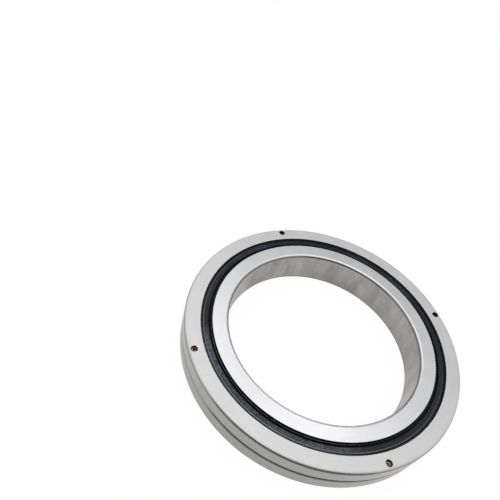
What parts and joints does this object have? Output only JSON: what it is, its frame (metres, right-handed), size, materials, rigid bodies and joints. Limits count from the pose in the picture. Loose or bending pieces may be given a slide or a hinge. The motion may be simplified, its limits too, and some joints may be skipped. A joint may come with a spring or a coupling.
{
  "type": "crossed roller bearing",
  "caption": "Thin crossed roller bearing with a split outer ring, one-piece inner ring, seals on both faces and rollers that cross each other with spacers between them.",
  "frame": {"origin": "centre of the bearing, on its axis in the plane where the outer ring is split", "axes": "+Z along the bearing's axis towards the upper seal; +X through an oil hole, with a rivet at 45 degrees to it"},
  "size_m": [0.1, 0.1, 0.013],
  "materials": {
    "ring_steel": "fine ground",
    "roller_steel": "polished",
    "spacer_plastic": "moulded, satin",
    "seal_rubber": "satin",
    "rivet_copper": "dull copper"
  },
  "bodies": {
    "outer_ring": {"outer_ring_upper": "ring_steel", "outer_ring_lower": "ring_steel", "seal_upper": "seal_rubber", "seal_lower": "seal_rubber", "rivets": "rivet_copper"},
    "inner_ring": {"inner_ring": "ring_steel"},
    "roller_train": {"spacers": "spacer_plastic"},
    "roller_01": {"roller_01": "roller_steel"},
    "roller_02": {"roller_02": "roller_steel"},
    "roller_03": {"roller_03": "roller_steel"},
    "roller_04": {"roller_04": "roller_steel"},
    "roller_05": {"roller_05": "roller_steel"},
    "roller_06": {"roller_06": "roller_steel"},
    "roller_07": {"roller_07": "roller_steel"},
    "roller_08": {"roller_08": "roller_steel"},
    "roller_09": {"roller_09": "roller_steel"},
    "roller_10": {"roller_10": "roller_steel"},
    "roller_11": {"roller_11": "roller_steel"},
    "roller_12": {"roller_12": "roller_steel"},
    "roller_13": {"roller_13": "roller_steel"},
    "roller_14": {"roller_14": "roller_steel"},
    "roller_15": {"roller_15": "roller_steel"},
    "roller_16": {"roller_16": "roller_steel"},
    "roller_17": {"roller_17": "roller_steel"},
    "roller_18": {"roller_18": "roller_steel"},
    "roller_19": {"roller_19": "roller_steel"},
    "roller_20": {"roller_20": "roller_steel"},
    "roller_21": {"roller_21": "roller_steel"},
    "roller_22": {"roller_22": "roller_steel"},
    "roller_23": {"roller_23": "roller_steel"},
    "roller_24": {"roller_24": "roller_steel"},
    "roller_25": {"roller_25": "roller_steel"},
    "roller_26": {"roller_26": "roller_steel"},
    "roller_27": {"roller_27": "roller_steel"},
    "roller_28": {"roller_28": "roller_steel"},
    "roller_29": {"roller_29": "roller_steel"},
    "roller_30": {"roller_30": "roller_steel"},
    "roller_31": {"roller_31": "roller_steel"},
    "roller_32": {"roller_32": "roller_steel"},
    "roller_33": {"roller_33": "roller_steel"},
    "roller_34": {"roller_34": "roller_steel"},
    "roller_35": {"roller_35": "roller_steel"},
    "roller_36": {"roller_36": "roller_steel"},
    "roller_37": {"roller_37": "roller_steel"},
    "roller_38": {"roller_38": "roller_steel"},
    "roller_39": {"roller_39": "roller_steel"},
    "roller_40": {"roller_40": "roller_steel"},
    "roller_41": {"roller_41": "roller_steel"},
    "roller_42": {"roller_42": "roller_steel"}
  },
  "joints": [
    {"name": "inner_ring_turn", "type": "hinge", "parent": "outer_ring", "child": "inner_ring", "pos_m": [0, 0, 0], "axis": [0, 0, 1], "continuous": true},
    {"name": "roller_train_turn", "type": "hinge", "parent": "outer_ring", "child": "roller_train", "pos_m": [0, 0, 0], "axis": [0, 0, 1], "continuous": true},
    {"name": "roller_01_spin", "type": "hinge", "parent": "roller_train", "child": "roller_01", "pos_m": [0.042, 0, 0], "axis": [0.7071, 0, 0.7071], "continuous": true},
    {"name": "roller_02_spin", "type": "hinge", "parent": "roller_train", "child": "roller_02", "pos_m": [0.04153, 0.00626, 0], "axis": [0.6992, 0.1054, -0.7071], "continuous": true},
    {"name": "roller_03_spin", "type": "hinge", "parent": "roller_train", "child": "roller_03", "pos_m": [0.04013, 0.01238, 0], "axis": [0.6757, 0.2084, 0.7071], "continuous": true},
    {"name": "roller_04_spin", "type": "hinge", "parent": "roller_train", "child": "roller_04", "pos_m": [0.03784, 0.01822, 0], "axis": [0.6371, 0.3068, -0.7071], "continuous": true},
    {"name": "roller_05_spin", "type": "hinge", "parent": "roller_train", "child": "roller_05", "pos_m": [0.0347, 0.02366, 0], "axis": [0.5842, 0.3983, 0.7071], "continuous": true},
    {"name": "roller_06_spin", "type": "hinge", "parent": "roller_train", "child": "roller_06", "pos_m": [0.03079, 0.02857, 0], "axis": [0.5183, 0.481, -0.7071], "continuous": true},
    {"name": "roller_07_spin", "type": "hinge", "parent": "roller_train", "child": "roller_07", "pos_m": [0.02619, 0.03284, 0], "axis": [0.4409, 0.5528, 0.7071], "continuous": true},
    {"name": "roller_08_spin", "type": "hinge", "parent": "roller_train", "child": "roller_08", "pos_m": [0.021, 0.03637, 0], "axis": [0.3536, 0.6124, -0.7071], "continuous": true},
    {"name": "roller_09_spin", "type": "hinge", "parent": "roller_train", "child": "roller_09", "pos_m": [0.01534, 0.0391, 0], "axis": [0.2583, 0.6582, 0.7071], "continuous": true},
    {"name": "roller_10_spin", "type": "hinge", "parent": "roller_train", "child": "roller_10", "pos_m": [0.00935, 0.04095, 0], "axis": [0.1573, 0.6894, -0.7071], "continuous": true},
    {"name": "roller_11_spin", "type": "hinge", "parent": "roller_train", "child": "roller_11", "pos_m": [0.00314, 0.04188, 0], "axis": [0.0528, 0.7051, 0.7071], "continuous": true},
    {"name": "roller_12_spin", "type": "hinge", "parent": "roller_train", "child": "roller_12", "pos_m": [-0.00314, 0.04188, 0], "axis": [-0.0528, 0.7051, -0.7071], "continuous": true},
    {"name": "roller_13_spin", "type": "hinge", "parent": "roller_train", "child": "roller_13", "pos_m": [-0.00935, 0.04095, 0], "axis": [-0.1573, 0.6894, 0.7071], "continuous": true},
    {"name": "roller_14_spin", "type": "hinge", "parent": "roller_train", "child": "roller_14", "pos_m": [-0.01534, 0.0391, 0], "axis": [-0.2583, 0.6582, -0.7071], "continuous": true},
    {"name": "roller_15_spin", "type": "hinge", "parent": "roller_train", "child": "roller_15", "pos_m": [-0.021, 0.03637, 0], "axis": [-0.3536, 0.6124, 0.7071], "continuous": true},
    {"name": "roller_16_spin", "type": "hinge", "parent": "roller_train", "child": "roller_16", "pos_m": [-0.02619, 0.03284, 0], "axis": [-0.4409, 0.5528, -0.7071], "continuous": true},
    {"name": "roller_17_spin", "type": "hinge", "parent": "roller_train", "child": "roller_17", "pos_m": [-0.03079, 0.02857, 0], "axis": [-0.5183, 0.481, 0.7071], "continuous": true},
    {"name": "roller_18_spin", "type": "hinge", "parent": "roller_train", "child": "roller_18", "pos_m": [-0.0347, 0.02366, 0], "axis": [-0.5842, 0.3983, -0.7071], "continuous": true},
    {"name": "roller_19_spin", "type": "hinge", "parent": "roller_train", "child": "roller_19", "pos_m": [-0.03784, 0.01822, 0], "axis": [-0.6371, 0.3068, 0.7071], "continuous": true},
    {"name": "roller_20_spin", "type": "hinge", "parent": "roller_train", "child": "roller_20", "pos_m": [-0.04013, 0.01238, 0], "axis": [-0.6757, 0.2084, -0.7071], "continuous": true},
    {"name": "roller_21_spin", "type": "hinge", "parent": "roller_train", "child": "roller_21", "pos_m": [-0.04153, 0.00626, 0], "axis": [-0.6992, 0.1054, 0.7071], "continuous": true},
    {"name": "roller_22_spin", "type": "hinge", "parent": "roller_train", "child": "roller_22", "pos_m": [-0.042, 0, 0], "axis": [-0.7071, 0, -0.7071], "continuous": true},
    {"name": "roller_23_spin", "type": "hinge", "parent": "roller_train", "child": "roller_23", "pos_m": [-0.04153, -0.00626, 0], "axis": [-0.6992, -0.1054, 0.7071], "continuous": true},
    {"name": "roller_24_spin", "type": "hinge", "parent": "roller_train", "child": "roller_24", "pos_m": [-0.04013, -0.01238, 0], "axis": [-0.6757, -0.2084, -0.7071], "continuous": true},
    {"name": "roller_25_spin", "type": "hinge", "parent": "roller_train", "child": "roller_25", "pos_m": [-0.03784, -0.01822, 0], "axis": [-0.6371, -0.3068, 0.7071], "continuous": true},
    {"name": "roller_26_spin", "type": "hinge", "parent": "roller_train", "child": "roller_26", "pos_m": [-0.0347, -0.02366, 0], "axis": [-0.5842, -0.3983, -0.7071], "continuous": true},
    {"name": "roller_27_spin", "type": "hinge", "parent": "roller_train", "child": "roller_27", "pos_m": [-0.03079, -0.02857, 0], "axis": [-0.5183, -0.481, 0.7071], "continuous": true},
    {"name": "roller_28_spin", "type": "hinge", "parent": "roller_train", "child": "roller_28", "pos_m": [-0.02619, -0.03284, 0], "axis": [-0.4409, -0.5528, -0.7071], "continuous": true},
    {"name": "roller_29_spin", "type": "hinge", "parent": "roller_train", "child": "roller_29", "pos_m": [-0.021, -0.03637, 0], "axis": [-0.3536, -0.6124, 0.7071], "continuous": true},
    {"name": "roller_30_spin", "type": "hinge", "parent": "roller_train", "child": "roller_30", "pos_m": [-0.01534, -0.0391, 0], "axis": [-0.2583, -0.6582, -0.7071], "continuous": true},
    {"name": "roller_31_spin", "type": "hinge", "parent": "roller_train", "child": "roller_31", "pos_m": [-0.00935, -0.04095, 0], "axis": [-0.1573, -0.6894, 0.7071], "continuous": true},
    {"name": "roller_32_spin", "type": "hinge", "parent": "roller_train", "child": "roller_32", "pos_m": [-0.00314, -0.04188, 0], "axis": [-0.0528, -0.7051, -0.7071], "continuous": true},
    {"name": "roller_33_spin", "type": "hinge", "parent": "roller_train", "child": "roller_33", "pos_m": [0.00314, -0.04188, 0], "axis": [0.0528, -0.7051, 0.7071], "continuous": true},
    {"name": "roller_34_spin", "type": "hinge", "parent": "roller_train", "child": "roller_34", "pos_m": [0.00935, -0.04095, 0], "axis": [0.1573, -0.6894, -0.7071], "continuous": true},
    {"name": "roller_35_spin", "type": "hinge", "parent": "roller_train", "child": "roller_35", "pos_m": [0.01534, -0.0391, 0], "axis": [0.2583, -0.6582, 0.7071], "continuous": true},
    {"name": "roller_36_spin", "type": "hinge", "parent": "roller_train", "child": "roller_36", "pos_m": [0.021, -0.03637, 0], "axis": [0.3536, -0.6124, -0.7071], "continuous": true},
    {"name": "roller_37_spin", "type": "hinge", "parent": "roller_train", "child": "roller_37", "pos_m": [0.02619, -0.03284, 0], "axis": [0.4409, -0.5528, 0.7071], "continuous": true},
    {"name": "roller_38_spin", "type": "hinge", "parent": "roller_train", "child": "roller_38", "pos_m": [0.03079, -0.02857, 0], "axis": [0.5183, -0.481, -0.7071], "continuous": true},
    {"name": "roller_39_spin", "type": "hinge", "parent": "roller_train", "child": "roller_39", "pos_m": [0.0347, -0.02366, 0], "axis": [0.5842, -0.3983, 0.7071], "continuous": true},
    {"name": "roller_40_spin", "type": "hinge", "parent": "roller_train", "child": "roller_40", "pos_m": [0.03784, -0.01822, 0], "axis": [0.6371, -0.3068, -0.7071], "continuous": true},
    {"name": "roller_41_spin", "type": "hinge", "parent": "roller_train", "child": "roller_41", "pos_m": [0.04013, -0.01238, 0], "axis": [0.6757, -0.2084, 0.7071], "continuous": true},
    {"name": "roller_42_spin", "type": "hinge", "parent": "roller_train", "child": "roller_42", "pos_m": [0.04153, -0.00626, 0], "axis": [0.6992, -0.1054, -0.7071], "continuous": true}
  ],
  "couplings": [
    {"joint": "roller_train_turn", "follows": "inner_ring_turn", "ratio": 0.47896},
    {"joint": "roller_01_spin", "follows": "inner_ring_turn", "ratio": -8.3851},
    {"joint": "roller_02_spin", "follows": "inner_ring_turn", "ratio": 8.3851},
    {"joint": "roller_03_spin", "follows": "inner_ring_turn", "ratio": -8.3851},
    {"joint": "roller_04_spin", "follows": "inner_ring_turn", "ratio": 8.3851},
    {"joint": "roller_05_spin", "follows": "inner_ring_turn", "ratio": -8.3851},
    {"joint": "roller_06_spin", "follows": "inner_ring_turn", "ratio": 8.3851},
    {"joint": "roller_07_spin", "follows": "inner_ring_turn", "ratio": -8.3851},
    {"joint": "roller_08_spin", "follows": "inner_ring_turn", "ratio": 8.3851},
    {"joint": "roller_09_spin", "follows": "inner_ring_turn", "ratio": -8.3851},
    {"joint": "roller_10_spin", "follows": "inner_ring_turn", "ratio": 8.3851},
    {"joint": "roller_11_spin", "follows": "inner_ring_turn", "ratio": -8.3851},
    {"joint": "roller_12_spin", "follows": "inner_ring_turn", "ratio": 8.3851},
    {"joint": "roller_13_spin", "follows": "inner_ring_turn", "ratio": -8.3851},
    {"joint": "roller_14_spin", "follows": "inner_ring_turn", "ratio": 8.3851},
    {"joint": "roller_15_spin", "follows": "inner_ring_turn", "ratio": -8.3851},
    {"joint": "roller_16_spin", "follows": "inner_ring_turn", "ratio": 8.3851},
    {"joint": "roller_17_spin", "follows": "inner_ring_turn", "ratio": -8.3851},
    {"joint": "roller_18_spin", "follows": "inner_ring_turn", "ratio": 8.3851},
    {"joint": "roller_19_spin", "follows": "inner_ring_turn", "ratio": -8.3851},
    {"joint": "roller_20_spin", "follows": "inner_ring_turn", "ratio": 8.3851},
    {"joint": "roller_21_spin", "follows": "inner_ring_turn", "ratio": -8.3851},
    {"joint": "roller_22_spin", "follows": "inner_ring_turn", "ratio": 8.3851},
    {"joint": "roller_23_spin", "follows": "inner_ring_turn", "ratio": -8.3851},
    {"joint": "roller_24_spin", "follows": "inner_ring_turn", "ratio": 8.3851},
    {"joint": "roller_25_spin", "follows": "inner_ring_turn", "ratio": -8.3851},
    {"joint": "roller_26_spin", "follows": "inner_ring_turn", "ratio": 8.3851},
    {"joint": "roller_27_spin", "follows": "inner_ring_turn", "ratio": -8.3851},
    {"joint": "roller_28_spin", "follows": "inner_ring_turn", "ratio": 8.3851},
    {"joint": "roller_29_spin", "follows": "inner_ring_turn", "ratio": -8.3851},
    {"joint": "roller_30_spin", "follows": "inner_ring_turn", "ratio": 8.3851},
    {"joint": "roller_31_spin", "follows": "inner_ring_turn", "ratio": -8.3851},
    {"joint": "roller_32_spin", "follows": "inner_ring_turn", "ratio": 8.3851},
    {"joint": "roller_33_spin", "follows": "inner_ring_turn", "ratio": -8.3851},
    {"joint": "roller_34_spin", "follows": "inner_ring_turn", "ratio": 8.3851},
    {"joint": "roller_35_spin", "follows": "inner_ring_turn", "ratio": -8.3851},
    {"joint": "roller_36_spin", "follows": "inner_ring_turn", "ratio": 8.3851},
    {"joint": "roller_37_spin", "follows": "inner_ring_turn", "ratio": -8.3851},
    {"joint": "roller_38_spin", "follows": "inner_ring_turn", "ratio": 8.3851},
    {"joint": "roller_39_spin", "follows": "inner_ring_turn", "ratio": -8.3851},
    {"joint": "roller_40_spin", "follows": "inner_ring_turn", "ratio": 8.3851},
    {"joint": "roller_41_spin", "follows": "inner_ring_turn", "ratio": -8.3851},
    {"joint": "roller_42_spin", "follows": "inner_ring_turn", "ratio": 8.3851}
  ]
}
